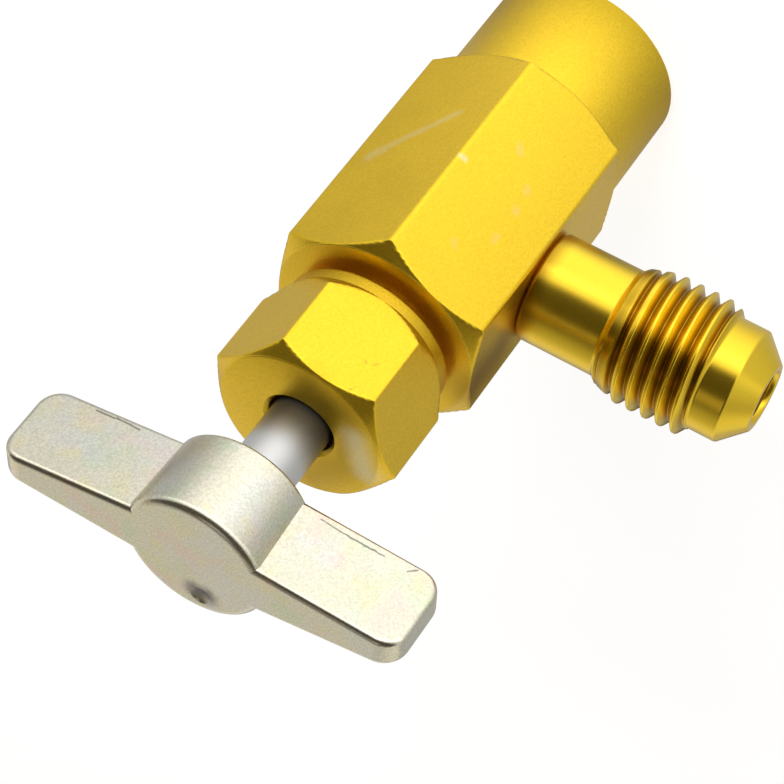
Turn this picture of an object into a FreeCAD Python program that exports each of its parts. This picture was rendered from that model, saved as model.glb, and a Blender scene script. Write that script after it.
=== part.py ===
"""Refrigerant can tap: hexagonal valve body, male flare port on one flat, gland nut,
screw spindle with a piercing needle, and a cast wing handle.

Millimetres. Origin at the middle of the can-side mouth, +Z up the spindle towards the
handle, +X along the flare port. The handle stands where the photo shows it.
"""
import os
from math import cos, pi, radians, sin

import FreeCAD
import Part

V = FreeCAD.Vector

# Fits and travel
RUNNING_FIT = 0.05            # radial, thread crests and pieces that slide
LOOSE_FIT = 0.1
TRAVEL_IN = 6.0               # how far the spindle screws in and out from the photo's pose
TRAVEL_OUT = 2.0

# Can socket and gasket, at the foot of the valve body
SOCKET_R = 6.5                # crest radius of the female can thread, M14 size
SOCKET_DEPTH = 9.6
GASKET_LIP = 0.4              # the gasket's seat is this much wider than the thread, and deeper
GASKET_SEAT_R = SOCKET_R + GASKET_LIP
GASKET_THICK = 2.0
GASKET_BOTTOM = SOCKET_DEPTH + GASKET_LIP
GASKET_TOP = GASKET_BOTTOM + GASKET_THICK
GASKET_EDGE = 0.2

# Valve body: 17 mm hexagon bar, turned round at the can end and to a neck at the other
BODY_AF = 17.0
BODY_CORNER = BODY_AF / 2 / cos(pi / 6)
CAN_CHAMFER_SLOPE = 0.64      # rise over run of the chamfer above the can end
COLLAR_WALL = 1.4
COLLAR_R = GASKET_SEAT_R + COLLAR_WALL
COLLAR_BREAK = 0.6
HEX_BOTTOM = 10.5
HEX_LENGTH = 23.5
HEX_TOP = HEX_BOTTOM + HEX_LENGTH
TOP_CHAMFER = 1.03            # how far the upper chamfer runs down the corners
TOP_FACE_R = BODY_AF / 2 - 0.08
NECK_R = 5.0
NECK_LENGTH = 6.8
NECK_TOP = HEX_TOP + NECK_LENGTH
NECK_GROOVE = 0.5             # depth of the thread relief above the hexagon, and of the top chamfer
NECK_RELIEF = 0.9

# Spindle, needle and seat washer, in the photo's pose
ROD_R = 2.52
SCREW_R = 2.95
STEM_R = 2.3
STEM_LENGTH = 4.9
NEEDLE_R = 1.2
NEEDLE_SHANK = 3.4            # length pressed into the stem
NEEDLE_REACH = 0.6            # point above the gasket
NEEDLE_CONE = 3.2
NEEDLE_POINT_R = 0.12
NEEDLE_COLLAR_R = 1.7
NEEDLE_COLLAR_THICK = 0.5
SEAT_WASHER_R = 2.9
SEAT_WASHER_THICK = 1.1
SEAT_WASHER_EDGE = 0.15

# Bores along the spindle
SEAT_WALL = 2.4
SEAT_Z = GASKET_TOP + SEAT_WALL
NEEDLE_HOLE_R = NEEDLE_R + 0.7
CHAMBER_R = SEAT_WASHER_R + 0.4
CHAMBER_DEPTH = 10.8
CHAMBER_TOP = SEAT_Z + CHAMBER_DEPTH
SCREW_BORE_R = SCREW_R + RUNNING_FIT
BOX_DEPTH = 4.0               # stuffing box
BOX_BOTTOM = NECK_TOP - BOX_DEPTH
BOX_R = ROD_R + 1.38

# Places of the spindle's steps, from the chamber floor and the box that stop it
SEAT_WASHER_LOW = SEAT_Z + TRAVEL_IN + RUNNING_FIT
SEAT_WASHER_HIGH = SEAT_WASHER_LOW + SEAT_WASHER_THICK
NEEDLE_COLLAR_HIGH = SEAT_WASHER_LOW - RUNNING_FIT
NEEDLE_COLLAR_LOW = NEEDLE_COLLAR_HIGH - NEEDLE_COLLAR_THICK
NEEDLE_TIP = GASKET_TOP + NEEDLE_REACH
STEM_BOTTOM = SEAT_WASHER_HIGH + RUNNING_FIT
NEEDLE_TOP = STEM_BOTTOM + NEEDLE_SHANK
SCREW_BOTTOM = STEM_BOTTOM + STEM_LENGTH
SCREW_TOP = BOX_BOTTOM - TRAVEL_OUT - 0.2
SCREW_CHAMFER = 0.4

# Flare port, 7/16-20 thread and 45 degree nose; stations are measured from the body's axis
PORT_RISE = 12.3              # above the lower end of the hexagon
PORT_Z = HEX_BOTTOM + PORT_RISE
PORT_BORE_R = 2.1
CROSS_HOLE_R = PORT_BORE_R - 0.2
PORT_SPIGOT_R = 3.9
PORT_INNER = CHAMBER_R + 1.2
PORT_FACE = BODY_AF / 2
TUBE_R = 4.5
TUBE_LENGTH = 6.8
TUBE_END = PORT_FACE + TUBE_LENGTH
TUBE_EDGE = 0.35
THREAD_PITCH = 1.27
THREAD_R = 11.11 / 2
THREAD_DEPTH = 0.755
THREAD_ROOT_R = THREAD_R - THREAD_DEPTH
THREAD_FIRST = TUBE_END + 1.13    # first crest
THREAD_CRESTS = 6
THREAD_LAST = THREAD_FIRST + THREAD_CRESTS * THREAD_PITCH
RUN_OUT_R = THREAD_ROOT_R + 0.4   # first and last crests aren't full
NOSE_R = THREAD_ROOT_R - 0.1
NOSE_START = THREAD_LAST - 0.35
NOSE_LAND = 2.3
CONE_START = NOSE_START + NOSE_LAND
CONE_LENGTH = 1.95
CONE_END = CONE_START + CONE_LENGTH
NOSE_TIP_R = PORT_BORE_R + 0.73
TIP_BREAK = 0.25

# Gland nut, 14 mm hexagon with a round collar at the back
NUT_AF = 14.0
NUT_FLAT = NUT_AF / 2
NUT_CORNER = NUT_FLAT / cos(pi / 6)
NUT_TURN = 18.1               # degrees from the body's hexagon
NUT_GAP = 0.97                # between the body and the nut
NUT_BACK = HEX_TOP + NUT_GAP
NUT_COLLAR = 1.13
NUT_COLLAR_TOP = NUT_BACK + NUT_COLLAR
NUT_COLLAR_BREAK = 0.25
NUT_BACK_CHAMFER = 1.4        # how far the chamfers run along the corners
NUT_FRONT_CHAMFER = 1.05
NUT_BORE_R = NECK_R + RUNNING_FIT
NUT_HOLE_R = ROD_R + 0.28
NUT_END_WALL = 2.35           # in front of the shoulder that presses on the follower
COUNTERSINK = 0.3

# Packing under the nut
WASHER_THICK = 0.6
WASHER_TOP = BOX_BOTTOM + WASHER_THICK
PACKING_THICK = 2.2
PACKING_TOP = WASHER_TOP + PACKING_THICK
PACKING_GAP = 0.02            # the packing all but touches the rod
FOLLOWER_FLANGE_R = NUT_BORE_R - 0.25
FOLLOWER_FLANGE = 1.5
FOLLOWER_STEP = NECK_TOP + 0.2
NUT_SHOULDER = FOLLOWER_STEP + FOLLOWER_FLANGE
NUT_FACE = NUT_SHOULDER + NUT_END_WALL
NUT_FACE_R = NUT_FLAT - 0.2

# Wing handle, zinc casting; at the end of its travel it stops just above the nut
HANDLE_TURN = 3.7             # degrees from the port
HANDLE_SHIFT = (-0.15, 0.1)   # the casting is not quite centred on its bore
HANDLE_GAP = 1.05
HUB_BACK = NUT_FACE + TRAVEL_IN + HANDLE_GAP
HUB_DEPTH = 7.33
HUB_FRONT = HUB_BACK + HUB_DEPTH
HUB_BACK_R = 5.62
HUB_FRONT_R = 5.9
HUB_RIM_R = 0.65              # rounding of the front rim
WING_BACK = HUB_BACK + 0.12
WING_TIP = 16.84
WING_ROOT = 4.0               # where the half thickness at the root is measured
WING_ROOT_HALF = 2.48
WING_TIP_HALF = 1.24
WING_CORNER = 1.9
EDGE_R = 0.45
DIMPLE = (0.5, -3.9)          # sink mark on the front face
DIMPLE_R = 1.6
DIMPLE_DEPTH = 0.25
HUB_CAP = 2.03                # metal in front of the spindle's end
SPINDLE_END = HUB_FRONT - HUB_CAP
SPINDLE_BREAK = 0.4


def turned(points, direction="z"):
    """Solid of revolution about +Z, or about the port axis, from (radius, station) points."""
    wire = Part.makePolygon([V(r, 0, s) for r, s in points] + [V(points[0][0], 0, points[0][1])])
    solid = Part.Face(wire).revolve(V(0, 0, 0), V(0, 0, 1), 360)
    if direction == "x":
        solid.rotate(V(0, 0, 0), V(0, 1, 0), 90)
        solid.translate(V(0, 0, PORT_Z))
    return solid


def rod(radius, low, high):
    return Part.makeCylinder(radius, high - low, V(0, 0, low), V(0, 0, 1))


def ring(outer, inner, low, high, edge=0.0):
    """Flat ring, its two outer edges broken if edge is given."""
    if not edge:
        return rod(outer, low, high).cut(rod(inner, low - 1, high + 1))
    return turned([(inner, low), (outer - edge, low), (outer, low + edge),
                   (outer, high - edge), (outer - edge, high), (inner, high)])


def hexagon(across_flats, low, high, turn=0.0):
    corner = across_flats / 2 / cos(pi / 6)
    angles = [radians(30 + 60 * i + turn) for i in range(6)]
    pts = [V(corner * cos(a), corner * sin(a), low) for a in angles]
    return Part.Face(Part.makePolygon(pts + [pts[0]])).extrude(V(0, 0, high - low))


def make_body():
    top_slope = TOP_CHAMFER / (BODY_CORNER - TOP_FACE_R)
    wide = BODY_CORNER + 1
    cutter = turned([(0, HEX_BOTTOM), (COLLAR_R, HEX_BOTTOM),
                     (wide, HEX_BOTTOM + (wide - COLLAR_R) * CAN_CHAMFER_SLOPE),
                     (wide, HEX_TOP - (wide - TOP_FACE_R) * top_slope),
                     (TOP_FACE_R, HEX_TOP), (0, HEX_TOP)])
    bar = hexagon(BODY_AF, HEX_BOTTOM, HEX_TOP).common(cutter)
    overlap = 0.5
    collar = turned([(0, 0), (COLLAR_R - COLLAR_BREAK, 0), (COLLAR_R, COLLAR_BREAK),
                     (COLLAR_R, HEX_BOTTOM + overlap), (0, HEX_BOTTOM + overlap)])
    groove_r = NECK_R - NECK_GROOVE
    neck = turned([(0, HEX_TOP - overlap), (groove_r, HEX_TOP - overlap), (groove_r, HEX_TOP + NECK_RELIEF),
                   (NECK_R, HEX_TOP + NECK_RELIEF + 0.4), (NECK_R, NECK_TOP - NECK_GROOVE),
                   (groove_r, NECK_TOP), (0, NECK_TOP)])
    outside = bar.fuse([collar, neck]).removeSplitter()
    inside = turned([(0, -1), (SOCKET_R, -1), (SOCKET_R, SOCKET_DEPTH), (GASKET_SEAT_R, SOCKET_DEPTH),
                     (GASKET_SEAT_R, GASKET_TOP), (NEEDLE_HOLE_R, GASKET_TOP), (NEEDLE_HOLE_R, SEAT_Z),
                     (CHAMBER_R, SEAT_Z), (CHAMBER_R, CHAMBER_TOP),
                     (SCREW_BORE_R, CHAMBER_TOP + CHAMBER_R - SCREW_BORE_R), (SCREW_BORE_R, BOX_BOTTOM),
                     (BOX_R, BOX_BOTTOM), (BOX_R, NECK_TOP - COUNTERSINK),
                     (BOX_R + COUNTERSINK + 1, NECK_TOP + 1), (0, NECK_TOP + 1)])
    port_hole = turned([(0, 0), (CROSS_HOLE_R, 0), (CROSS_HOLE_R, PORT_INNER), (PORT_SPIGOT_R, PORT_INNER),
                        (PORT_SPIGOT_R, wide), (0, wide)], "x")
    return outside.cut(inside).cut(port_hole)


def make_port():
    crest_half = THREAD_PITCH / 16
    spigot_break = 0.4
    points = [(PORT_BORE_R, PORT_INNER), (PORT_SPIGOT_R - spigot_break, PORT_INNER),
              (PORT_SPIGOT_R, PORT_INNER + spigot_break), (PORT_SPIGOT_R, PORT_FACE),
              (TUBE_R - TUBE_EDGE, PORT_FACE), (TUBE_R, PORT_FACE + TUBE_EDGE),
              (TUBE_R, TUBE_END), (THREAD_ROOT_R + 0.1, TUBE_END + 0.5)]
    for i in range(THREAD_CRESTS):
        x = THREAD_FIRST + i * THREAD_PITCH
        top = THREAD_R if i else RUN_OUT_R
        half = crest_half if i else crest_half * 2
        points += [(top, x - half), (top, x + half), (THREAD_ROOT_R, x + THREAD_PITCH / 2)]
    points += [(RUN_OUT_R, THREAD_LAST - THREAD_PITCH / 4), (RUN_OUT_R, NOSE_START),
               (NOSE_R, NOSE_START + 0.3), (NOSE_R, CONE_START), (NOSE_TIP_R, CONE_END),
               (PORT_BORE_R + TIP_BREAK, CONE_END), (PORT_BORE_R, CONE_END - TIP_BREAK)]
    return turned(points, "x")


def make_nut():
    slope_back = NUT_BACK_CHAMFER / (NUT_CORNER - NUT_FLAT)
    slope_front = NUT_FRONT_CHAMFER / (NUT_CORNER - NUT_FACE_R)
    wide = NUT_CORNER + 1
    collar_points = [(0, NUT_BACK), (NUT_FLAT - NUT_COLLAR_BREAK, NUT_BACK),
                     (NUT_FLAT, NUT_BACK + NUT_COLLAR_BREAK)]
    cutter = turned(collar_points
                    + [(NUT_FLAT, NUT_COLLAR_TOP), (wide, NUT_COLLAR_TOP + (wide - NUT_FLAT) * slope_back),
                       (wide, NUT_FACE - (wide - NUT_FACE_R) * slope_front), (NUT_FACE_R, NUT_FACE),
                       (0, NUT_FACE)])
    overlap = 0.2
    collar = turned(collar_points + [(NUT_FLAT, NUT_COLLAR_TOP + overlap), (0, NUT_COLLAR_TOP + overlap)])
    bar = hexagon(NUT_AF, NUT_COLLAR_TOP, NUT_FACE, NUT_TURN).common(cutter)
    lead_in = 0.4
    inside = turned([(0, NUT_BACK - 1), (NUT_BORE_R + lead_in + 1, NUT_BACK - 1),
                     (NUT_BORE_R, NUT_BACK + lead_in), (NUT_BORE_R, NUT_SHOULDER),
                     (NUT_HOLE_R, NUT_SHOULDER), (NUT_HOLE_R, NUT_FACE - COUNTERSINK),
                     (NUT_HOLE_R + COUNTERSINK + 1, NUT_FACE + 1), (0, NUT_FACE + 1)])
    return bar.fuse(collar).removeSplitter().cut(inside)


def make_follower():
    spigot_r, hole_r = BOX_R - RUNNING_FIT, ROD_R + LOOSE_FIT
    return turned([(hole_r, PACKING_TOP), (spigot_r, PACKING_TOP), (spigot_r, FOLLOWER_STEP),
                   (FOLLOWER_FLANGE_R, FOLLOWER_STEP), (FOLLOWER_FLANGE_R, NUT_SHOULDER),
                   (hole_r, NUT_SHOULDER)])


def make_spindle():
    low, high = SCREW_BOTTOM, SCREW_TOP
    return turned([(0, NEEDLE_TOP), (NEEDLE_R, NEEDLE_TOP), (NEEDLE_R, STEM_BOTTOM), (STEM_R, STEM_BOTTOM),
                   (STEM_R, low - 0.4), (SCREW_R - 0.3, low - 0.1), (SCREW_R, low + 0.3),
                   (SCREW_R, high - SCREW_CHAMFER), (ROD_R, high), (ROD_R, SPINDLE_END - SPINDLE_BREAK),
                   (ROD_R - SPINDLE_BREAK, SPINDLE_END), (0, SPINDLE_END)])


def make_needle():
    low, high = NEEDLE_COLLAR_LOW, NEEDLE_COLLAR_HIGH
    return turned([(0, NEEDLE_TIP), (NEEDLE_POINT_R, NEEDLE_TIP), (NEEDLE_R, NEEDLE_TIP + NEEDLE_CONE),
                   (NEEDLE_R, low), (NEEDLE_COLLAR_R, low), (NEEDLE_COLLAR_R, high), (NEEDLE_R, high),
                   (NEEDLE_R, NEEDLE_TOP), (0, NEEDLE_TOP)])


def make_wings():
    """Both wings as one tapered bar through the hub, tips and long edges rounded."""
    corners = [(-WING_TIP, WING_TIP_HALF), (-WING_ROOT, WING_ROOT_HALF),
               (WING_ROOT, WING_ROOT_HALF), (WING_TIP, WING_TIP_HALF)]
    outline = [(x, -y) for x, y in corners] + corners[::-1]
    pts = [V(x, y, WING_BACK) for x, y in outline]
    wings = Part.Face(Part.makePolygon(pts + [pts[0]])).extrude(V(0, 0, HUB_FRONT - WING_BACK))
    upright = [e for e in wings.Edges if e.BoundBox.XLength < 0.01 and e.BoundBox.ZLength < 0.01]
    wings = wings.makeFillet(WING_CORNER, upright)
    long_edges = [e for e in wings.Edges if e.BoundBox.XLength > WING_CORNER / 2
                  and (e.BoundBox.YLength > 0.5 or e.BoundBox.XLength < WING_ROOT * 2 + 1)]
    return wings.makeFillet(EDGE_R, long_edges)


def make_handle():
    hub = turned([(0, HUB_BACK), (HUB_BACK_R, HUB_BACK), (HUB_FRONT_R, HUB_FRONT), (0, HUB_FRONT)])
    rims = [e for e in hub.Edges if e.BoundBox.ZLength < 0.01 and e.BoundBox.XLength > HUB_BACK_R]
    rims.sort(key=lambda e: e.BoundBox.ZMin)
    hub = hub.makeFillet(EDGE_R, rims[:1])
    rims = [e for e in hub.Edges if e.BoundBox.ZLength < 0.01 and e.BoundBox.ZMin > HUB_FRONT - 0.01]
    hub = hub.makeFillet(HUB_RIM_R, rims)
    handle = hub.fuse(make_wings()).removeSplitter()
    handle.translate(V(*HANDLE_SHIFT, 0))
    handle = handle.cut(rod(ROD_R, HUB_BACK - 1, SPINDLE_END))
    handle = handle.cut(Part.makeSphere(DIMPLE_R, V(*DIMPLE, HUB_FRONT + DIMPLE_R - DIMPLE_DEPTH)))
    handle.rotate(V(0, 0, 0), V(0, 0, 1), HANDLE_TURN)
    return handle


def save(name, shape):
    solids = shape.Solids
    assert len(solids) == 1 and solids[0].isValid(), (name, len(solids))
    solids[0].exportStep("parts/" + name + ".step")
    box = solids[0].BoundBox
    print("%-16s %8.1f mm3  x %.2f..%.2f y %.2f..%.2f z %.2f..%.2f" % (
        name, solids[0].Volume, box.XMin, box.XMax, box.YMin, box.YMax, box.ZMin, box.ZMax))


os.makedirs("parts", exist_ok=True)
save("valve_body", make_body())
save("side_port", make_port())
save("gland_nut", make_nut())
save("packing_washer", ring(BOX_R - RUNNING_FIT, ROD_R + LOOSE_FIT, BOX_BOTTOM, WASHER_TOP))
save("stem_packing", ring(BOX_R, ROD_R + PACKING_GAP, WASHER_TOP, PACKING_TOP))
save("gland_follower", make_follower())
save("can_gasket", ring(GASKET_SEAT_R - RUNNING_FIT, NEEDLE_HOLE_R, GASKET_BOTTOM, GASKET_TOP, GASKET_EDGE))
save("spindle", make_spindle())
save("piercing_needle", make_needle())
save("seat_washer", ring(SEAT_WASHER_R, NEEDLE_R + RUNNING_FIT, SEAT_WASHER_LOW, SEAT_WASHER_HIGH,
                         SEAT_WASHER_EDGE))
save("wing_handle", make_handle())
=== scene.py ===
# %% [markdown]
# # A refrigerant can tap
# The tap is a hexagonal gold-coloured valve body with a threaded flare port on one flat, a gland nut,
# a steel spindle and a cast wing handle. The imported CAD model is the fixed frame. It is loaded first,
# and its box is kept.

# %% Load the frame
import math

import bpy
import numpy as np
from mathutils import Matrix, Vector


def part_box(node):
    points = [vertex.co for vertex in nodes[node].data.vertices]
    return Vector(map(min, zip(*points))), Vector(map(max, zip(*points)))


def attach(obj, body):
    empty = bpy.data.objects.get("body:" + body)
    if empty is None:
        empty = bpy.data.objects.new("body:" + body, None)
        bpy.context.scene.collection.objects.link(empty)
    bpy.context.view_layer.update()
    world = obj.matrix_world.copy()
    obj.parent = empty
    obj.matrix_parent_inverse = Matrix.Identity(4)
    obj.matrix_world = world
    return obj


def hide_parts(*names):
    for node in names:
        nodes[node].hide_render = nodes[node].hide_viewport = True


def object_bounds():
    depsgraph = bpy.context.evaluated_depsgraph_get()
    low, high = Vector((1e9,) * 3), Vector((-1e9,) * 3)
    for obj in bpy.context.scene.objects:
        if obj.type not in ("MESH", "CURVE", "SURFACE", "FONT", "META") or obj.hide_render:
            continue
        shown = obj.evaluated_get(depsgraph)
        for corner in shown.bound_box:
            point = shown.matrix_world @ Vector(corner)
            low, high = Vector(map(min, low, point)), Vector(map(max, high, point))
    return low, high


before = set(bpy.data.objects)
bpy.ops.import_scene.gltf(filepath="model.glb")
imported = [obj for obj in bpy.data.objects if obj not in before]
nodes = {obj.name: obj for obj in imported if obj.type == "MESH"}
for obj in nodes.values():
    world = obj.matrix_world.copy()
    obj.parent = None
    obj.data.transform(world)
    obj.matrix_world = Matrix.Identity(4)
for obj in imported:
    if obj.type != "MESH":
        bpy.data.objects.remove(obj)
cad_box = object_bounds()
MM = 0.001

# %% [markdown]
# ## The camera
# The photo was taken with a long lens from about 22 cm. The tap stood at a slant to it, so the camera
# looks down 33 degrees on the standing tap and is rolled far over, which puts the handle at the lower
# left. Azimuth, elevation, distance and roll were fitted to the corners of the two hexagons.

# %% Camera at the photo's viewing angle
AIM = Vector((3.9, -0.8, 37.7)) * MM
CAMERA_AZIMUTH = math.radians(73.0)
CAMERA_ELEVATION = math.radians(33.36)
CAMERA_DISTANCE = 222.0 * MM
CAMERA_ROLL = math.radians(-142.7)
FOCAL_LENGTH = 135.7


def toward(azimuth, elevation):
    """Unit vector from the tap to a place at this azimuth from +X and this height above the floor."""
    flat = math.cos(elevation)
    return Vector((flat * math.cos(azimuth), flat * math.sin(azimuth), math.sin(elevation)))


camera_data = bpy.data.cameras.new("camera")
camera_data.lens = FOCAL_LENGTH
camera_data.sensor_width = 36.0
camera_data.clip_start = 0.01
camera = bpy.data.objects.new("camera", camera_data)
bpy.context.scene.collection.objects.link(camera)
back = toward(CAMERA_AZIMUTH, CAMERA_ELEVATION)
level = back.to_track_quat("Z", "Y").to_matrix().to_4x4()
camera.matrix_world = (Matrix.Translation(AIM + back * CAMERA_DISTANCE) @ level
                       @ Matrix.Rotation(CAMERA_ROLL, 4, "Z"))
bpy.context.scene.camera = camera
print("camera at", [round(v / MM, 1) for v in camera.location], "mm")

# %% [markdown]
# ## Meshes from a turned profile
# Nearly every gold piece began as bar in a lathe. One helper makes them all: a closed outline of
# (radius, station) points is carried round the axis. A second function of the angle can hold the
# radius back, which leaves a hexagon where the bar was never turned, and chamfers where both meet.
# Rows are set close beside each rounded edge, so smooth shading stays flat on the flats.

# %% Outlines with softened corners
LARGEST_SHARE = 0.35
NEARLY_STRAIGHT = 1.5
COMPANION_GAP = 0.04
OUTSIDE_ARC = 1.15


def softened(points, radius, steps=4):
    """The outline with each inner corner rounded; a point may carry its own radius as a third value.

    A corner of radius 0 stays sharp. Every corner gets a row close by on each side."""
    rows = [np.array(points[0][:2], float)]
    for last, point, following in zip(points, points[1:], points[2:]):
        here = np.array(point[:2], float)
        before = np.array(last[:2], float) - here
        after = np.array(following[:2], float) - here
        wanted = point[2] if len(point) > 2 else radius
        reach_before, reach_after = np.linalg.norm(before), np.linalg.norm(after)
        before, after = before / reach_before, after / reach_after
        half = math.acos(float(np.clip(before @ after, -1, 1))) / 2
        shorter = min(reach_before, reach_after)
        cut = min(wanted / max(math.tan(half), 1e-3), LARGEST_SHARE * shorter)
        if wanted <= 0 or half > NEARLY_STRAIGHT:
            near = min(COMPANION_GAP, 0.2 * shorter)
            rows.extend([here + before * near, here, here + after * near])
            continue
        start, end = here + before * cut, here + after * cut
        rows.append(here + before * cut * OUTSIDE_ARC)
        for step in range(steps + 1):
            t = step / steps
            rows.append((1 - t) ** 2 * start + 2 * t * (1 - t) * here + t ** 2 * end)
        rows.append(here + after * cut * OUTSIDE_ARC)
    rows.append(np.array(points[-1][:2], float))
    return rows


def even_angles(count):
    """Angles spaced evenly round a circle."""
    return np.arange(count) * 2 * math.pi / count


# %% Hexagons with rounded corners
def hexagon_angles(turn, rounding, apothem, count=9):
    """Angles round a hexagon, crowded at its six corners; turn is the first flat's normal."""
    middle = math.radians(30)
    lean = math.atan((apothem - rounding) * math.tan(middle) / apothem)
    side = np.concatenate([np.linspace(0, lean * 0.97, count), np.linspace(lean, middle, count)])
    sector = np.concatenate([-side[::-1], side[1:]])[:-1]
    return np.sort(np.concatenate([sector + turn + k * math.pi / 3 for k in range(6)]) % (2 * math.pi))


def hexagon_radius(angles, turn, rounding, apothem):
    """Radius of a hexagon with rounded corners at each angle."""
    middle = math.radians(30)
    off = np.abs((angles - turn + middle) % (2 * middle) - middle)
    centre = (apothem - rounding) / math.cos(middle)
    flat = apothem / np.cos(off)
    gap = middle - off
    corner = centre * np.cos(gap) + np.sqrt(np.maximum(rounding ** 2 - (centre * np.sin(gap)) ** 2, 0))
    lean = math.atan((apothem - rounding) * math.tan(middle) / apothem)
    return np.where(off < lean, flat, corner)


def soft_min(a, b, blend):
    """The smaller of two radii, with the edge between them rounded over."""
    h = np.clip(0.5 + 0.5 * (b - a) / blend, 0, 1)
    return b * (1 - h) + a * h - blend * h * (1 - h)


# %% Carry an outline round its axis
ALWAYS_ROUND = 1.2


def turned_mesh(name, rows, angles, limit=None, blend=0.06, groove=None, axis="z", base=(0, 0, 0)):
    """Mesh of closed rows of (radius, station) in millimetres, carried round the z or the x axis.

    limit gives the largest radius at each angle. Rows that lie further inside it than ALWAYS_ROUND
    aren't touched by it. groove changes a radius by station and angle."""
    rows = [(float(r), float(s)) for r, s in rows]
    radius = np.array([r for r, _ in rows])[:, None] * np.ones(len(angles))
    station = np.array([s for _, s in rows])[:, None] * np.ones(len(angles))
    if limit is not None:
        far = radius > limit.min() - ALWAYS_ROUND
        radius = np.where(far, soft_min(radius, limit[None, :], blend), radius)
    if groove is not None:
        radius = groove(radius, station, angles[None, :])
    if axis == "z":
        points = np.stack([radius * np.cos(angles), radius * np.sin(angles), station], axis=-1)
    else:
        points = np.stack([station, radius * np.cos(angles), radius * np.sin(angles)], axis=-1)
    points = (points.reshape(-1, 3) + np.array(base)) * MM
    n_rows, n_angles = radius.shape
    row, column = np.meshgrid(np.arange(n_rows), np.arange(n_angles), indexing="ij")
    next_row, next_column = (row + 1) % n_rows, (column + 1) % n_angles
    corners = [row * n_angles + column, row * n_angles + next_column,
               next_row * n_angles + next_column, next_row * n_angles + column]
    faces = np.stack(corners, axis=-1).reshape(-1, 4)
    area = sum(r0 * s1 - r1 * s0 for (r0, s0), (r1, s1) in zip(rows, rows[1:] + rows[:1]))
    if area < 0:
        faces = faces[:, ::-1]
    mesh = bpy.data.meshes.new(name)
    mesh.from_pydata(points.tolist(), [], faces.tolist())
    mesh.shade_smooth()
    obj = bpy.data.objects.new(name, mesh)
    bpy.context.scene.collection.objects.link(obj)
    print(name, len(mesh.vertices), "points")
    return obj


def chamfer_rows(first_r, first_z, last_r, last_z, count):
    """Rows up a chamfer cone, close enough together to draw the curved edge on each flat."""
    share = np.linspace(0, 1, count)
    return [(first_r + (last_r - first_r) * s, first_z + (last_z - first_z) * s) for s in share]


# %% [markdown]
# ## The valve body
# A 17 mm hexagonal bar. Its can end is turned round and threaded inside, its upper end is chamfered
# and carries the neck that the gland nut screws on. The chamfer is a cone, and where it meets a flat
# it leaves the curved edge seen on every machined hexagon. Heights come from the frame where it has
# them. The can thread is cut into the socket's wall by changing the radius with height and angle.

# %% Sizes of the valve body
body_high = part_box("valve_body")[1]
BODY_APOTHEM = body_high.x / MM
NECK_TOP = body_high.z / MM
BODY_CORNER = BODY_APOTHEM / math.cos(math.pi / 6)
BODY_EDGE = 0.48
HEX_BOTTOM = 10.5
HEX_TOP = NECK_TOP - 6.8
CAN_CHAMFER_SLOPE = 0.64
TOP_CHAMFER = 1.03
TOP_FACE_R = BODY_APOTHEM - 0.08
NECK_R = 5.0
GROOVE_R = 4.5
CAN_END_R = 8.3
RIM_BEVEL = 0.6
CAN_THREAD_R = 6.5
CAN_THREAD_PITCH = 1.0
CAN_THREAD_FROM, CAN_THREAD_TO = 0.7, 9.2
SOCKET_WALL_FROM, SOCKET_WALL_TO = 0.5, 9.4
GASKET_SEAT_R = 6.9
GASKET_SEAT_FROM, SOCKET_FLOOR = 9.6, 12.0
NEEDLE_HOLE_R = 1.9
CHAMBER_R = 3.3
CHAMBER_FROM, CHAMBER_TO = 14.4, 25.2
SCREW_BORE_R = 3.0
PACKING_BORE_R = 3.9
PACKING_SEAT, PACKING_MOUTH = 36.8, 40.5
print("body across flats", round(2 * BODY_APOTHEM, 3))


# %% Valve body
def can_thread(radius, station, angles):
    """Cuts the female can thread into the wall of the socket."""
    wall = (np.abs(radius - CAN_THREAD_R) < 0.01) & (station > CAN_THREAD_FROM) & (station < CAN_THREAD_TO)
    turn = (station / CAN_THREAD_PITCH - angles / (2 * math.pi)) % 1.0
    depth = 0.5 * CAN_THREAD_PITCH * (1 - np.abs(2 * turn - 1))
    return radius + np.where(wall, depth, 0)


seat_rows = softened([(CHAMBER_R, CHAMBER_FROM), (NEEDLE_HOLE_R, CHAMBER_FROM),
                      (NEEDLE_HOLE_R, SOCKET_FLOOR), (GASKET_SEAT_R, SOCKET_FLOOR),
                      (GASKET_SEAT_R, GASKET_SEAT_FROM), (CAN_THREAD_R, GASKET_SEAT_FROM - 0.1)], 0.0)
socket_heights = np.arange(SOCKET_WALL_TO, SOCKET_WALL_FROM, -CAN_THREAD_PITCH / 10)
socket_rows = [(CAN_THREAD_R, z) for z in socket_heights]
rim_rows = softened([(CAN_THREAD_R, 0.4), (CAN_THREAD_R + 0.2, 0.0), (CAN_END_R - RIM_BEVEL, 0.0),
                     (CAN_END_R, RIM_BEVEL), (CAN_END_R, HEX_BOTTOM - 0.1)], 0.12)
beyond = BODY_CORNER + 0.6
top_slope = TOP_CHAMFER / (BODY_CORNER - TOP_FACE_R)
low_chamfer = chamfer_rows(CAN_END_R, HEX_BOTTOM, beyond,
                           HEX_BOTTOM + (beyond - CAN_END_R) * CAN_CHAMFER_SLOPE, 30)
top_chamfer = chamfer_rows(beyond, HEX_TOP - (beyond - TOP_FACE_R) * top_slope, TOP_FACE_R, HEX_TOP, 40)
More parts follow.
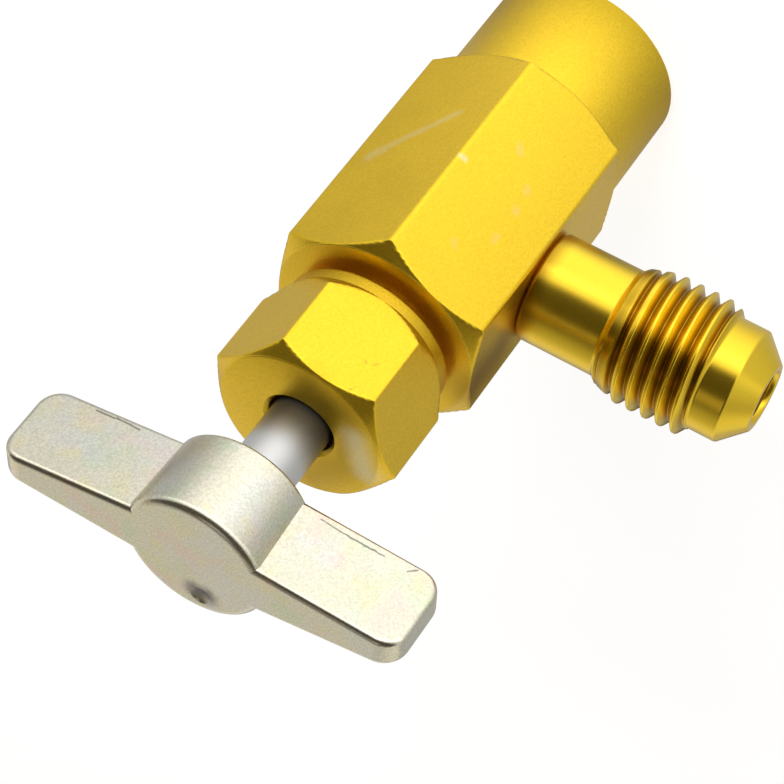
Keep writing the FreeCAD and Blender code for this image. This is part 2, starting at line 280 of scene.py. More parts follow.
neck_rows = softened([(TOP_FACE_R - 0.05, HEX_TOP), (GROOVE_R, HEX_TOP), (GROOVE_R, HEX_TOP + 0.9),
                      (NECK_R, HEX_TOP + 1.3), (NECK_R, NECK_TOP - 0.5), (NECK_R - 0.5, NECK_TOP),
                      (PACKING_BORE_R + 0.2, NECK_TOP), (PACKING_BORE_R, PACKING_MOUTH),
                      (PACKING_BORE_R, PACKING_SEAT), (SCREW_BORE_R, PACKING_SEAT),
                      (SCREW_BORE_R, CHAMBER_TO + 0.3), (CHAMBER_R, CHAMBER_TO),
                      (CHAMBER_R, CHAMBER_FROM + 0.1)], 0.0)
body_rows = (seat_rows + socket_rows + rim_rows + low_chamfer + top_chamfer[:-1]
             + [(TOP_FACE_R + 0.05, HEX_TOP - 0.03)] + neck_rows)
body_angles = hexagon_angles(0.0, BODY_EDGE, BODY_APOTHEM)
valve_body = turned_mesh("hex_valve_body", body_rows, body_angles,
                         limit=hexagon_radius(body_angles, 0.0, BODY_EDGE, BODY_APOTHEM), groove=can_thread)
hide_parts("valve_body")
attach(valve_body, "tap")

# %% [markdown]
# ## The gland nut
# A 14 mm nut with a turned collar at the back. It is not in line with the body's flats, because it was
# tightened until the packing sealed, so it has its own turn. It is the same kind of mesh as the body,
# with smaller roundings, because its edges look crisper in the photo.

# %% Gland nut
NUT_TURN = math.radians(18.1)
NUT_APOTHEM = 7.0
NUT_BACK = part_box("gland_nut")[0].z / MM
NUT_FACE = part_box("gland_nut")[1].z / MM
NUT_CORNER = NUT_APOTHEM / math.cos(math.pi / 6)
NUT_COLLAR_R = NUT_APOTHEM
NUT_COLLAR_TOP = NUT_BACK + 1.13
NUT_FACE_R = NUT_APOTHEM - 0.2
NUT_HOLE_R = 2.8
NUT_COUNTERSINK = 0.3
NUT_BORE_R = NECK_R + 0.05
NUT_BORE_END = 42.5
NUT_MOUTH = 0.4
NUT_EDGE = 0.26
BACK_CHAMFER = 1.4
FRONT_CHAMFER = 1.05
wide = NUT_CORNER + 0.5
back_slope = BACK_CHAMFER / (NUT_CORNER - NUT_COLLAR_R)
front_slope = FRONT_CHAMFER / (NUT_CORNER - NUT_FACE_R)
nut_rows = (softened([(NUT_HOLE_R, NUT_BORE_END), (NUT_BORE_R, NUT_BORE_END),
                      (NUT_BORE_R, NUT_BACK + NUT_MOUTH), (NUT_BORE_R + NUT_MOUTH, NUT_BACK),
                      (NUT_COLLAR_R, NUT_BACK, 0.2), (NUT_COLLAR_R, NUT_COLLAR_TOP - 0.05)], 0.06)
            + chamfer_rows(NUT_COLLAR_R, NUT_COLLAR_TOP,
                           wide, NUT_COLLAR_TOP + (wide - NUT_COLLAR_R) * back_slope, 30)
            + chamfer_rows(wide, NUT_FACE - (wide - NUT_FACE_R) * front_slope, NUT_FACE_R, NUT_FACE, 34)[:-1]
            + [(NUT_FACE_R + 0.05, NUT_FACE - 0.03)]
            + softened([(NUT_FACE_R - 0.06, NUT_FACE), (NUT_HOLE_R + NUT_COUNTERSINK, NUT_FACE),
                        (NUT_HOLE_R, NUT_FACE - NUT_COUNTERSINK), (NUT_HOLE_R, NUT_BORE_END + 0.1)], 0.05))
nut_angles = hexagon_angles(NUT_TURN, NUT_EDGE, NUT_APOTHEM)
gland_nut = turned_mesh("gland_nut_turned", nut_rows, nut_angles,
                        limit=hexagon_radius(nut_angles, NUT_TURN, NUT_EDGE, NUT_APOTHEM), blend=0.05)
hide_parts("gland_nut")
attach(gland_nut, "tap")

# %% [markdown]
# ## The flare port
# Turned from bar and pressed into the flat. The thread is a real right-hand helix, 1.27 mm a turn: the
# radius at each station depends on the angle as well. It grows in over its first turn and a half, as a
# die cuts it, and runs out to a short land before the plain nose and its 45 degree cone.

# %% Sizes of the flare port
THREAD_R = 11.11 / 2
THREAD_ROOT_R = 4.8
THREAD_PITCH = 1.27
PORT_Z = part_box("side_port")[1].z / MM - THREAD_R
PORT_TIP = round(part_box("side_port")[1].x / MM, 3)
SPIGOT_R = 3.9
SPIGOT_END = 4.5
PORT_FOOT = 8.5
TUBE_R = 4.5
TUBE_END = 15.3
THREAD_START = 15.75
THREAD_GROWN = 18.2
THREAD_END = 23.75
CREST_STATION = 17.7
ROWS_PER_TURN = 22
FLANK_PEAK, FLANK_SLOPE, FLANK_TOP = 1.1, 2.35, 0.94
RUN_OUT_LENGTH, RUN_OUT_RISE = 0.75, 0.9
NOSE_R = 4.7
CONE_START = 26.0
CONE_TIP_R = 2.83
PORT_BORE_R = 2.1


# %% Flare port
def flare_thread(radius, station, angles):
    """Raises the helix of the 7/16-20 thread between its run-in and its run-out."""
    inside = (station > THREAD_START) & (station < THREAD_END) & (radius > SPIGOT_R)
    turn = ((station - CREST_STATION) / THREAD_PITCH - (angles - math.pi / 2) / (2 * math.pi) + 0.5) % 1.0
    flank = np.clip(FLANK_PEAK - FLANK_SLOPE * np.abs(turn - 0.5), 0, FLANK_TOP) / FLANK_TOP
    crest = THREAD_ROOT_R + (THREAD_R - THREAD_ROOT_R) * flank
    grown = np.clip((station - THREAD_START) / (THREAD_GROWN - THREAD_START), 0, 1)
    run_in = THREAD_ROOT_R + 0.12 + grown * (THREAD_R - THREAD_ROOT_R)
    run_out = NOSE_R + np.clip((THREAD_END - station) / RUN_OUT_LENGTH, 0, 1) * RUN_OUT_RISE
    return np.where(inside, np.minimum(np.minimum(crest, run_in), run_out), radius)


spigot_rows = softened([(PORT_BORE_R, PORT_TIP - 0.45), (PORT_BORE_R, SPIGOT_END),
                        (SPIGOT_R - 0.4, SPIGOT_END), (SPIGOT_R, SPIGOT_END + 0.4), (SPIGOT_R, PORT_FOOT),
                        (TUBE_R - 0.35, PORT_FOOT), (TUBE_R, PORT_FOOT + 0.35, 0.3),
                        (TUBE_R, TUBE_END, 0.25), (THREAD_ROOT_R + 0.1, THREAD_START)], 0.12)
thread_stations = np.arange(THREAD_START + 0.03, THREAD_END, THREAD_PITCH / ROWS_PER_TURN)
thread_rows = [(THREAD_R, x) for x in thread_stations]
nose_rows = softened([(NOSE_R, THREAD_END + 0.1), (NOSE_R, THREAD_END + 0.25, 0.0),
                      (NOSE_R, CONE_START, 0.3), (CONE_TIP_R, PORT_TIP, 0.15),
                      (PORT_BORE_R + 0.25, PORT_TIP), (PORT_BORE_R, PORT_TIP - 0.25)], 0.08)
port_rows = spigot_rows + thread_rows + nose_rows
side_port = turned_mesh("flare_port", port_rows, even_angles(144), groove=flare_thread, axis="x",
                        base=(0, 0, PORT_Z))
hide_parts("side_port")
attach(side_port, "tap")

# %% [markdown]
# ## Shared node groups
# Two effects turn up in several materials, so each is a node group built once. The first is fine grain:
# a small noise for the relief and a broad one that lets colour and roughness drift. The second is a
# mark, such as a scratch, a rub or a chip: the distance from a line between two points, made ragged by
# a noise, gives a mask. Both work in the object's own coordinates, so they stay put when it turns.

# %% Helpers for node trees
def new_group(name, inputs, outputs):
    """An empty node group with named sockets, and its input and output nodes."""
    group = bpy.data.node_groups.new(name, "ShaderNodeTree")
    for label, kind, value in inputs:
        socket = group.interface.new_socket(name=label, in_out="INPUT", socket_type=kind)
        socket.default_value = value
    for label, kind in outputs:
        group.interface.new_socket(name=label, in_out="OUTPUT", socket_type=kind)
    return group, group.nodes.new("NodeGroupInput"), group.nodes.new("NodeGroupOutput")


def add_node(tree, kind, **settings):
    """A node with its properties or input values set by name."""
    node = tree.nodes.new(kind)
    for key, value in settings.items():
        if key in node.bl_rna.properties:
            setattr(node, key, value)
        else:
            node.inputs[key.replace("_", " ")].default_value = value
    return node


def math_node(tree, operation, *values, clamp=False):
    """A Math node whose inputs are sockets or plain numbers."""
    node = add_node(tree, "ShaderNodeMath", operation=operation, use_clamp=clamp)
    for slot, value in zip(node.inputs, values):
        if isinstance(value, (int, float)):
            slot.default_value = value
        else:
            tree.links.new(value, slot)
    return node.outputs[0]


def vector_node(tree, operation, *values):
    """A Vector Math node whose inputs are sockets or plain vectors."""
    node = add_node(tree, "ShaderNodeVectorMath", operation=operation)
    for slot, value in zip(node.inputs, values):
        if isinstance(value, (tuple, Vector)):
            slot.default_value = value
        else:
            tree.links.new(value, slot)
    return node.outputs["Value"] if operation in ("DOT_PRODUCT", "DISTANCE", "LENGTH") else node.outputs[0]


def spread(tree, value, low, high, new_low, new_high, smooth=True):
    """A Map Range node; smooth gives it soft ends."""
    node = add_node(tree, "ShaderNodeMapRange", interpolation_type="SMOOTHSTEP" if smooth else "LINEAR")
    tree.links.new(value, node.inputs["Value"])
    for label, number in (("From Min", low), ("From Max", high), ("To Min", new_low), ("To Max", new_high)):
        node.inputs[label].default_value = number
    return node.outputs["Result"]


def mixed(tree, mask, first, second, blend="MIX"):
    """A colour Mix node; mask and colours are sockets or plain values."""
    node = add_node(tree, "ShaderNodeMix", data_type="RGBA", blend_type=blend)
    for slot, value in ((node.inputs[0], mask), (node.inputs[6], first), (node.inputs[7], second)):
        if isinstance(value, (int, float)):
            slot.default_value = value
        elif isinstance(value, tuple):
            slot.default_value = (*value, 1)
        else:
            tree.links.new(value, slot)
    return node.outputs[2]


def own_axes(tree):
    """The x, y and z of the piece's own coordinates."""
    coords = add_node(tree, "ShaderNodeTexCoord")
    split = add_node(tree, "ShaderNodeSeparateXYZ")
    tree.links.new(coords.outputs["Object"], split.inputs[0])
    return split.outputs


# %% Fine grain
grain_group, grain_in, grain_out = new_group(
    "fine grain",
    [("Scale", "NodeSocketFloat", 6000.0), ("Tint", "NodeSocketColor", (1, 1, 1, 1)),
     ("Unevenness", "NodeSocketFloat", 0.1), ("Speckle", "NodeSocketFloat", 0.05),
     ("Roughness", "NodeSocketFloat", 0.4)],
    [("Color", "NodeSocketColor"), ("Roughness", "NodeSocketFloat"), ("Height", "NodeSocketFloat")])
coords = add_node(grain_group, "ShaderNodeTexCoord")
fine = add_node(grain_group, "ShaderNodeTexNoise", Detail=3.0)
grain_group.links.new(coords.outputs["Object"], fine.inputs["Vector"])
grain_group.links.new(grain_in.outputs["Scale"], fine.inputs["Scale"])
broad = add_node(grain_group, "ShaderNodeTexNoise", Scale=220.0, Detail=4.0)
grain_group.links.new(coords.outputs["Object"], broad.inputs["Vector"])
sway = math_node(grain_group, "SUBTRACT", broad.outputs["Fac"], 0.5)
flicker = spread(grain_group, fine.outputs["Fac"], 0.3, 0.7, -1.0, 1.0, smooth=False)
amount = math_node(grain_group, "MULTIPLY_ADD", sway, grain_in.outputs["Unevenness"], 1.0)
amount = math_node(grain_group, "MULTIPLY_ADD", flicker, grain_in.outputs["Speckle"], amount)
tinted = mixed(grain_group, 1.0, grain_in.outputs["Tint"], amount, "MULTIPLY")
rougher = math_node(grain_group, "MULTIPLY_ADD", sway, 0.15, grain_in.outputs["Roughness"])
grain_group.links.new(tinted, grain_out.inputs["Color"])
grain_group.links.new(rougher, grain_out.inputs["Roughness"])
grain_group.links.new(fine.outputs["Fac"], grain_out.inputs["Height"])

# %% A mark between two points
mark_group, mark_in, mark_out = new_group(
    "mark",
    [("Start", "NodeSocketVector", (0, 0, 0)), ("End", "NodeSocketVector", (0, 0, 0.001)),
     ("Width", "NodeSocketFloat", 0.0002), ("Raggedness", "NodeSocketFloat", 0.0002)],
    [("Mask", "NodeSocketFloat")])
coords = add_node(mark_group, "ShaderNodeTexCoord")
shake = add_node(mark_group, "ShaderNodeTexNoise", Scale=1600.0, Detail=2.0)
mark_group.links.new(coords.outputs["Object"], shake.inputs["Vector"])
centred = vector_node(mark_group, "SUBTRACT", shake.outputs["Color"], (0.5, 0.5, 0.5))
scaled = add_node(mark_group, "ShaderNodeVectorMath", operation="SCALE")
mark_group.links.new(centred, scaled.inputs[0])
mark_group.links.new(mark_in.outputs["Raggedness"], scaled.inputs["Scale"])
place = vector_node(mark_group, "ADD", coords.outputs["Object"], scaled.outputs[0])
from_start = vector_node(mark_group, "SUBTRACT", place, mark_in.outputs["Start"])
along = vector_node(mark_group, "SUBTRACT", mark_in.outputs["End"], mark_in.outputs["Start"])
share = math_node(mark_group, "DIVIDE", vector_node(mark_group, "DOT_PRODUCT", from_start, along),
                  vector_node(mark_group, "DOT_PRODUCT", along, along), clamp=True)
nearest = add_node(mark_group, "ShaderNodeVectorMath", operation="SCALE")
mark_group.links.new(along, nearest.inputs[0])
mark_group.links.new(share, nearest.inputs["Scale"])
away = vector_node(mark_group, "DISTANCE", from_start, nearest.outputs[0])
mask = math_node(mark_group, "SUBTRACT", 1.0,
                 math_node(mark_group, "DIVIDE", away, mark_in.outputs["Width"]), clamp=True)
mark_group.links.new(mask, mark_out.inputs["Mask"])
print("node groups", [g.name for g in bpy.data.node_groups])


# %% [markdown]
# ## A finish for each metal
# Every material starts the same way: a Principled BSDF fed by the grain group. What makes it gold, zinc
# or steel is the tint, the roughness and how deep the grain is. The seals inside get the same treatment
# without the metal.

# %% A finish from the grain group
def finish(name, colour, roughness, metallic=1.0, scale=6000.0, unevenness=0.1, speckle=0.02, bump=0.05):
    """A material with one Principled BSDF, fed by the grain group."""
    material = bpy.data.materials.new(name)
    material.use_nodes = True
    tree = material.node_tree
    shader = tree.nodes["Principled BSDF"]
    shader.inputs["Metallic"].default_value = metallic
    grain = tree.nodes.new("ShaderNodeGroup")
    grain.node_tree = grain_group
    grain.inputs["Scale"].default_value = scale
    grain.inputs["Tint"].default_value = (*colour, 1)
    grain.inputs["Unevenness"].default_value = unevenness
    grain.inputs["Speckle"].default_value = speckle
    grain.inputs["Roughness"].default_value = roughness
    tree.links.new(grain.outputs["Color"], shader.inputs["Base Color"])
    tree.links.new(grain.outputs["Roughness"], shader.inputs["Roughness"])
    relief = add_node(tree, "ShaderNodeBump", Strength=bump, Distance=0.00002)
    tree.links.new(grain.outputs["Height"], relief.inputs["Height"])
    tree.links.new(relief.outputs["Normal"], shader.inputs["Normal"])
    return material


def cover(material, mask, colour):
    """Lays a colour over a finish as strongly as the mask says."""
    tree = material.node_tree
    shader = tree.nodes["Principled BSDF"]
    under = shader.inputs["Base Color"].links[0].from_socket
    tree.links.new(mixed(tree, mask, under, colour), shader.inputs["Base Color"])


def add_marks(material, marks, colour, strength):
    """Lays marks of one colour over a finish; each is (start, end, width, raggedness) in millimetres."""
    tree = material.node_tree
    total = None
    for start, end, width, raggedness in marks:
        node = tree.nodes.new("ShaderNodeGroup")
        node.node_tree = mark_group
        node.inputs["Start"].default_value = Vector(start) * MM
        node.inputs["End"].default_value = Vector(end) * MM
        node.inputs["Width"].default_value = width * MM
        node.inputs["Raggedness"].default_value = raggedness * MM
        found = node.outputs["Mask"]
        total = found if total is None else math_node(tree, "MAXIMUM", total, found)
    cover(material, spread(tree, total, 0.0, 1.0, 0.0, strength), colour)
    print(material.name, len(marks), "marks")


# %% [markdown]
# ## Gold finishes
# The body and the nut are satin: anodised over a fine blasted surface. The port is turned and a little
# brighter. Real parts are never clean, so the wear comes next. It is laid on as marks between points
# given on the surface: rubs on the big flat, a chip on its edge, a faint streak on the next
# flat and three small nicks on the nut.

# %% Gold
gold_satin = finish("gold satin anodised", (0.95, 0.64, 0.037), 0.36, scale=5000.0, unevenness=0.12,
                    speckle=0.08, bump=0.9)
gold_bright = finish("gold bright turned", (0.96, 0.67, 0.045), 0.25, bump=0.08, unevenness=0.06)
print("gold finishes", gold_satin.name, "and", gold_bright.name)

# %% Wear on the gold
PALE_RUB = (1.0, 0.62, 0.2)
PALE_STREAK = (0.95, 0.88, 0.55)
BARE_CHIP = (1.0, 0.74, 0.45)
NICK = (0.55, 0.36, 0.05)
big_flat_rubs = [((5.0, 6.93, 20.4), (5.15, 6.84, 20.8), 0.55, 0.8),
                 ((5.25, 6.79, 22.7), (5.4, 6.7, 23.0), 0.5, 0.8),
                 ((2.9, 8.14, 18.2), (3.1, 8.02, 18.5), 0.6, 0.8),
                 ((5.3, 6.76, 25.9), (5.35, 6.73, 26.3), 0.5, 0.8),
                 ((3.4, 7.86, 29.0), (3.5, 7.8, 29.4), 0.4, 0.8)]
flat_streak = [((-7.0, 5.77, 23.8), (-6.4, 6.12, 22.8), 0.9, 0.7),
               ((-6.3, 6.18, 22.6), (-2.6, 8.31, 17.9), 0.6, 0.5)]
edge_chip = [((0.1, 9.68, 22.9), (0.5, 9.52, 22.8), 0.4, 0.4)]
nut_nicks = [((3.1, 6.49, 41.35), (3.25, 6.47, 41.5), 0.16, 0.3),
             ((3.75, 6.36, 41.3), (3.9, 6.34, 41.0), 0.14, 0.3),
             ((3.5, 6.42, 44.3), (3.7, 6.37, 43.7), 0.12, 0.3)]
add_marks(gold_satin, big_flat_rubs, PALE_RUB, 0.5)
add_marks(gold_satin, flat_streak, PALE_STREAK, 0.3)
add_marks(gold_satin, edge_chip, BARE_CHIP, 0.7)
add_marks(gold_satin, nut_nicks, NICK, 0.7)

# %% [markdown]
# ## Painted shade in the hollows
# Shade is painted into the gold where little light reaches: in the groove behind the nut, in the thread
# roots, at the foot of the port's tube, on the port's flat beside the tube and on the nut's face round
# the rod. A mask from the height, from the distance to the port's axis or from marks picks those places
# out. One spot on the nut's face gets a painted pale reflection.

# %% Painted shade in the groove and on the nut's face
DEEP_SHADE = (0.30, 0.135, 0.008)
NUT_FACE_SHADE = (0.42, 0.26, 0.015)
PAINTED_REFLECTION = (0.8, 0.86, 0.75)
tree = gold_satin.node_tree
axes = own_axes(tree)
# Painted shade: the groove between the hexagon's top face and the nut's collar is darkened.
groove_low = spread(tree, axes["Z"], (HEX_TOP + 0.3) * MM, (HEX_TOP + 0.7) * MM, 0.0, 0.3)
groove_high = spread(tree, axes["Z"], (NUT_COLLAR_TOP - 0.1) * MM, (NUT_COLLAR_TOP + 0.2) * MM, 1.0, 0.0)
cover(gold_satin, math_node(tree, "MULTIPLY", groove_low, groove_high), DEEP_SHADE)
# Painted shade on the nut's face round the hole.
nut_face_shade_marks = [((0.6, 5.2, NUT_FACE), (3.6, 3.4, NUT_FACE), 2.6, 0.4),
             ((3.6, 3.4, NUT_FACE), (3.9, -2.0, NUT_FACE), 2.0, 0.4),
             ((3.9, -2.0, NUT_FACE), (1.5, -5.2, NUT_FACE), 3.5, 0.6)]
# Painted shade on the port's flat beside the tube.
port_flat_shade = [((9.5, -1.5, 34.0), (9.5, -1.5, 29.5), 4.5, 0.8)]
# A painted pale reflection on the nut's face.
reflection_spot = [((4.7, 2.0, NUT_FACE), (5.9, -1.4, NUT_FACE), 1.9, 0.3)]
add_marks(gold_satin, nut_face_shade_marks, NUT_FACE_SHADE, 0.66)
add_marks(gold_satin, port_flat_shade, DEEP_SHADE, 0.75)
add_marks(gold_satin, reflection_spot, PAINTED_REFLECTION, 0.42)

# %% Painted shade in the thread roots and at the tube foot
TUBE_FOOT_FROM, TUBE_FOOT_TO = 8.7, 10.3
tree = gold_bright.node_tree
station = own_axes(tree)["X"]
place = add_node(tree, "ShaderNodeTexCoord").outputs["Object"]
off_axis = vector_node(tree, "SUBTRACT", place, (0, 0, PORT_Z * MM))
from_axis = vector_node(tree, "LENGTH", vector_node(tree, "MULTIPLY", off_axis, (0, 1, 1)))
deep = spread(tree, from_axis, (THREAD_ROOT_R + 0.05) * MM, (THREAD_R - 0.15) * MM, 1.0, 0.0)
on_thread = math_node(tree, "MULTIPLY",
                      spread(tree, station, (TUBE_END - 0.1) * MM, (THREAD_START + 0.5) * MM, 0.0, 1.0),
                      spread(tree, station, (THREAD_END - 0.5) * MM, THREAD_END * MM, 1.0, 0.0))
foot = spread(tree, station, TUBE_FOOT_FROM * MM, TUBE_FOOT_TO * MM, 1.0, 0.0)
# Painted shade in the thread roots and at the foot of the tube.
painted_shade = math_node(tree, "MAXIMUM", math_node(tree, "MULTIPLY", deep, on_thread), foot)
cover(gold_bright, math_node(tree, "MULTIPLY", painted_shade, 0.8), DEEP_SHADE)
print("dull places on", gold_satin.name, "and", gold_bright.name)

# %% [markdown]
# ## The zinc handle
# A zinc casting, plated and passivated. Passivate is a very thin film, and its colour wanders between
# straw, pink, green and grey over a few millimetres, so four broad noises lay four faint colours over
# the zinc. Under it the cast skin is slightly rough. A line of flash was trimmed off near the back
# edge of each wing, which left thin dark scratches, and the sink mark on the hub holds dirt.

# %% Zinc with wandering passivate
FILMS = (((0.84, 0.62, 0.55), 260.0, 0.010, 0.5),
         ((0.62, 0.72, 0.50), 330.0, 0.031, 0.5),
         ((0.84, 0.74, 0.38), 420.0, 0.057, 0.3),
         ((0.70, 0.72, 0.74), 240.0, 0.083, 0.4))
SPECK_SCALE = 5200.0
zinc = finish("passivated zinc casting", (0.76, 0.72, 0.575), 0.22, scale=3600.0, unevenness=0.12, bump=0.35)
tree = zinc.node_tree
shader = tree.nodes["Principled BSDF"]
colour = shader.inputs["Base Color"].links[0].from_socket
coords = add_node(tree, "ShaderNodeTexCoord")
for film_colour, scale, offset, strength in FILMS:
    shifted = vector_node(tree, "ADD", coords.outputs["Object"], (offset, offset / 2, -offset))
    patch = add_node(tree, "ShaderNodeTexNoise", Scale=scale, Detail=2.0, Roughness=0.6)
    tree.links.new(shifted, patch.inputs["Vector"])
    colour = mixed(tree, spread(tree, patch.outputs["Fac"], 0.5, 0.68, 0.0, strength), colour, film_colour)
speck = add_node(tree, "ShaderNodeTexNoise", Scale=SPECK_SCALE, Detail=1.0)
tree.links.new(coords.outputs["Object"], speck.inputs["Vector"])
colour = mixed(tree, 1.0, colour, spread(tree, speck.outputs["Fac"], 0.3, 0.7, 0.88, 1.1, False), "MULTIPLY")
tree.links.new(colour, shader.inputs["Base Color"])
print(zinc.name, "with", len(FILMS), "film colours")

# %% Scratches, stains, painted edge shade and a brown patch on the handle
SCRATCH = (0.1, 0.1, 0.09)
BACK_EDGE_SHADE = (0.28, 0.26, 0.3)
SINK_DIRT = (0.12, 0.115, 0.13)
HUB_BROWN_PATCH = (0.42, 0.34, 0.22)
flash_scratches = [((-12.72, 0.95, 52.58), (-11.13, 1.21, 52.6), 0.13, 0.12),
                   ((-11.0, 1.23, 52.5), (-8.91, 1.57, 52.66), 0.13, 0.12),
                   ((6.56, 2.74, 52.7), (8.57, 2.67, 52.85), 0.11, 0.25),
                   ((8.6, 2.67, 52.8), (10.64, 2.61, 52.84), 0.14, 0.2),
                   ((10.7, 2.6, 52.85), (11.84, 2.57, 52.78), 0.12, 0.3),
                   ((13.85, 2.51, 52.96), (14.4, 2.5, 52.48), 0.13, 0.15)]
add_marks(zinc, flash_scratches, SCRATCH, 0.85)
# Painted shade along the right wing's back edge.
add_marks(zinc, [((6.0, 2.6, 52.05), (15.2, 2.3, 52.05), 0.3, 0.15)], BACK_EDGE_SHADE, 0.8)
add_marks(zinc, [((0.4, -3.55, 59.05), (1.2, -3.45, 59.05), 1.6, 0.4)], SINK_DIRT, 1.0)
# A brownish darker patch on the hub's side.
add_marks(zinc, [((-3.9, 4.35, 53.5), (-4.3, 3.9, 56.0), 2.0, 0.6)], HUB_BROWN_PATCH, 0.45)

# %% [markdown]
# ## Steel, brass, seals
# The spindle is plated steel. Its colour is painted darker towards the nut: painted shade for the dim
# reflection and shadow round the nut's hole. The inner brass and the seals are only seen when the part
# is taken apart.

# %% Spindle steel and the inner pieces
# Painted shade: the spindle's colour darkens towards the nut.
SPINDLE_SHADE = (0.09, 0.085, 0.08)
steel = finish("plated steel", (0.66, 0.66, 0.65), 0.33, metallic=0.85, bump=0.06)
tree = steel.node_tree
near_nut_shade = spread(tree, own_axes(tree)["Z"], (NUT_FACE + 0.4) * MM, (NUT_FACE + 4.2) * MM, 0.86, 0.0)
cover(steel, near_nut_shade, SPINDLE_SHADE)
brass = finish("turned brass", (0.80, 0.58, 0.22), 0.25, bump=0.05)
ptfe = finish("white seal plastic", (0.85, 0.85, 0.82), 0.5, metallic=0.0, bump=0.05)
rubber = finish("black seal rubber", (0.02, 0.02, 0.02), 0.6, metallic=0.0, bump=0.2)

# %% Give every piece its finish
for piece, material in ((valve_body, gold_satin), (gland_nut, gold_satin), (side_port, gold_bright)):
    piece.data.materials.append(material)
dressed = {"packing_washer": brass, "gland_follower": brass, "stem_packing": ptfe, "seat_washer": ptfe,
           "can_gasket": rubber, "spindle": steel, "piercing_needle": steel, "wing_handle": zinc}
for name, material in dressed.items():
    for slot in nodes[name].material_slots:
        slot.material = material
    print(name, len(nodes[name].data.vertices), "points,", len(nodes[name].material_slots), "slots")

# %% [markdown]
# ## Floor and light
# A plain pale floor under the can end. The camera sees it white, with the tap's shadow on it. Metal
# shows what stands round it, so the room matters more than the lamps. Rays that come from a shiny
# surface see a floor that is bright on the camera's side, a bright band round the horizon there, and a
# dark ceiling above it with a paler patch straight overhead. The dark ceiling draws the dark lines
# along the handle's edges. Behind the tap the room is an even grey. In both the floor and the room a
# Light Path node keeps what the camera sees white.

# %% Floor
floor_mesh = bpy.data.meshes.new("floor")
REACH = 3.0
FLOOR_GAP = 0.00002
floor_mesh.from_pydata([(-REACH, -REACH, 0), (REACH, -REACH, 0), (REACH, REACH, 0), (-REACH, REACH, 0)],
                       [], [(0, 1, 2, 3)])
floor = bpy.data.objects.new("floor", floor_mesh)
bpy.context.scene.collection.objects.link(floor)
floor.location.z = min(0.0, cad_box[0][2]) - FLOOR_GAP
print("floor", 2 * REACH, "m wide")

# %% How bright the surroundings are on each side
BRIGHT_SIDE = toward(math.radians(84.0), 0.0)
FAR_LEVEL = 0.52
NEAR_GAIN = 0.92
FAR_FALL = 0.06
HORIZON_GLOW = 0.8


def facing_bright_side(tree, vector):
    """How far a direction points to the bright side, from -1 to 1."""
    unit = vector_node(tree, "NORMALIZE", vector)
    return vector_node(tree, "DOT_PRODUCT", unit, BRIGHT_SIDE)


def side_level(tree, facing):
    """Brightness all round: dim on the far side, growing with the square towards the bright side."""
    near = math_node(tree, "POWER", math_node(tree, "MAXIMUM", facing, 0.0), 2.0)
    level = math_node(tree, "MULTIPLY_ADD", near, NEAR_GAIN, FAR_LEVEL)
    return math_node(tree, "MULTIPLY_ADD", math_node(tree, "MINIMUM", facing, 0.0), FAR_FALL, level)


# %% Floor material
# In what shiny surfaces see, the floor is dimmed close under the tap and in a patch on the dark side:
# painted shadow.
UNDER_TAP, UNDER_TAP_LEVEL = (0.005, 0.022), 0.45
FAR_GLOW_REACH = (0.24, 0.4)
DARK_SIDE = toward(math.radians(-76.0), 0.0)
DARK_PATCH_WIDTH, DARK_PATCH_DEPTH = (0.86, 0.97), 0.88
DARK_PATCH_FROM, DARK_PATCH_TO = (0.028, 0.05), (0.06, 0.08)
floor_material = bpy.data.materials.new("pale floor")
floor_material.use_nodes = True
tree = floor_material.node_tree
tree.nodes.clear()
out = tree.nodes.new("ShaderNodeOutputMaterial")
lit = add_node(tree, "ShaderNodeBsdfDiffuse", Color=(0.5, 0.5, 0.5, 1))
glow = add_node(tree, "ShaderNodeEmission", Color=(1, 1, 1, 1), Strength=0.8)
seen = tree.nodes.new("ShaderNodeAddShader")
tree.links.new(lit.outputs[0], seen.inputs[0])
tree.links.new(glow.outputs[0], seen.inputs[1])
coords = tree.nodes.new("ShaderNodeTexCoord")
mirrored = add_node(tree, "ShaderNodeEmission", Color=(1, 1, 1, 1))
facing = facing_bright_side(tree, coords.outputs["Object"])
reach = vector_node(tree, "LENGTH", coords.outputs["Object"])
close_by = spread(tree, reach, *UNDER_TAP, UNDER_TAP_LEVEL, 1.0)
far_glow = math_node(tree, "MULTIPLY", spread(tree, reach, *FAR_GLOW_REACH, 0.0, HORIZON_GLOW),
                     math_node(tree, "MAXIMUM", facing, 0.0))
outward = vector_node(tree, "NORMALIZE", coords.outputs["Object"])
dusky = vector_node(tree, "DOT_PRODUCT", outward, DARK_SIDE)
patch = math_node(tree, "MULTIPLY", spread(tree, dusky, *DARK_PATCH_WIDTH, 0.0, DARK_PATCH_DEPTH),
                  spread(tree, reach, *DARK_PATCH_FROM, 0.0, 1.0))
patch = math_node(tree, "MULTIPLY", patch, spread(tree, reach, *DARK_PATCH_TO, 1.0, 0.0))
level = math_node(tree, "MULTIPLY_ADD", side_level(tree, facing), close_by, far_glow)
level = math_node(tree, "MULTIPLY", level, math_node(tree, "SUBTRACT", 1.0, patch))
tree.links.new(level, mirrored.inputs["Strength"])
path = tree.nodes.new("ShaderNodeLightPath")
choose = tree.nodes.new("ShaderNodeMixShader")
tree.links.new(path.outputs["Is Glossy Ray"], choose.inputs[0])
tree.links.new(seen.outputs[0], choose.inputs[1])
tree.links.new(mirrored.outputs[0], choose.inputs[2])
tree.links.new(choose.outputs[0], out.inputs["Surface"])
floor_mesh.materials.append(floor_material)
print(floor_material.name, "mirrors up to", round(FAR_LEVEL + NEAR_GAIN + HORIZON_GLOW, 2))

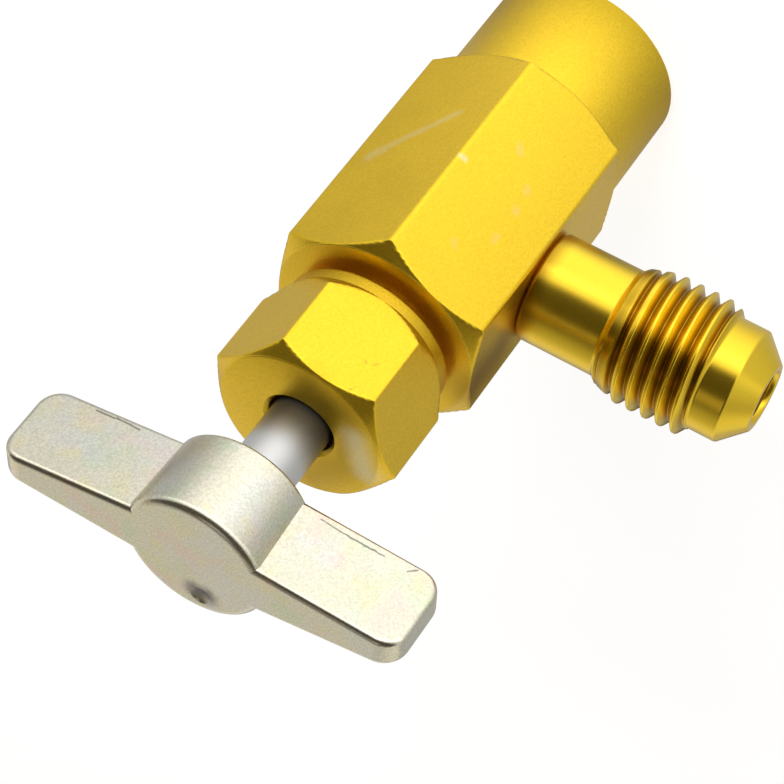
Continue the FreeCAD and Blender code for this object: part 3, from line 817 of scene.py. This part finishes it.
# %% Room
HORIZON_TOP = 0.2
BAND_TOP, CEILING_FROM = 0.3, 0.52
CEILING_LEVEL, CEILING_TINT = 0.08, (1.0, 0.87, 0.74)
OVERHEAD, OVERHEAD_LEVEL = (0.96, 0.99), 0.5
FAR_WALL, FAR_WALL_LEVELS = (0.25, 0.85), (0.8, 0.4)
FAR_WALL_TINT = (1.0, 0.96, 0.86)
SIDES_MEET = (-0.6, -0.15)
world = bpy.data.worlds.new("studio")
bpy.context.scene.world = world
world.use_nodes = True
tree = world.node_tree
tree.nodes.clear()
out = tree.nodes.new("ShaderNodeOutputWorld")
coords = tree.nodes.new("ShaderNodeTexCoord")
direction = coords.outputs["Generated"]
room = add_node(tree, "ShaderNodeBackground")
split = tree.nodes.new("ShaderNodeSeparateXYZ")
tree.links.new(direction, split.inputs[0])
height = split.outputs["Z"]
facing = facing_bright_side(tree, direction)
under_ceiling = spread(tree, height, BAND_TOP, CEILING_FROM, 1.0, 0.0)
glow = math_node(tree, "MULTIPLY", spread(tree, height, 0.0, HORIZON_TOP, HORIZON_GLOW, 0.0),
                 math_node(tree, "MAXIMUM", facing, 0.0))
band = math_node(tree, "MULTIPLY", side_level(tree, facing), under_ceiling)
ceiling = spread(tree, height, *OVERHEAD, CEILING_LEVEL, OVERHEAD_LEVEL)
near_side = math_node(tree, "ADD", math_node(tree, "ADD", band, glow), ceiling)
far_side = spread(tree, height, *FAR_WALL, *FAR_WALL_LEVELS)
on_near_side = spread(tree, facing, *SIDES_MEET, 0.0, 1.0)
near_tint = mixed(tree, under_ceiling, CEILING_TINT, (1.0, 1.0, 1.0))
tree.links.new(mixed(tree, on_near_side, FAR_WALL_TINT, near_tint), room.inputs["Color"])
difference = math_node(tree, "SUBTRACT", near_side, far_side)
tree.links.new(math_node(tree, "MULTIPLY_ADD", difference, on_near_side, far_side), room.inputs["Strength"])
plain = add_node(tree, "ShaderNodeBackground", Color=(1, 1, 1, 1), Strength=1.0)
path = tree.nodes.new("ShaderNodeLightPath")
choose = tree.nodes.new("ShaderNodeMixShader")
tree.links.new(path.outputs["Is Camera Ray"], choose.inputs[0])
tree.links.new(room.outputs[0], choose.inputs[1])
tree.links.new(plain.outputs[0], choose.inputs[2])
tree.links.new(choose.outputs[0], out.inputs["Surface"])
print("room", world.name, "with", len(tree.nodes), "nodes")


# %% Lamps
def softbox(name, azimuth, elevation, distance, size, power):
    """A square lamp that looks at the tap from an azimuth and elevation in degrees."""
    lamp = bpy.data.lights.new(name, "AREA")
    lamp.shape = "SQUARE"
    lamp.size = size
    lamp.energy = power
    place = bpy.data.objects.new(name, lamp)
    aim = toward(math.radians(azimuth), math.radians(elevation))
    place.location = AIM + aim * distance
    place.rotation_euler = aim.to_track_quat("Z", "Y").to_euler()
    bpy.context.scene.collection.objects.link(place)
    return place


key = softbox("key softbox", 102, 25, 0.6, 0.3, 1.8)
key.visible_glossy = False
print(key.name, round(key.data.energy, 2), "W")

# %% Standard view transform
bpy.context.scene.view_settings.view_transform = "Standard"
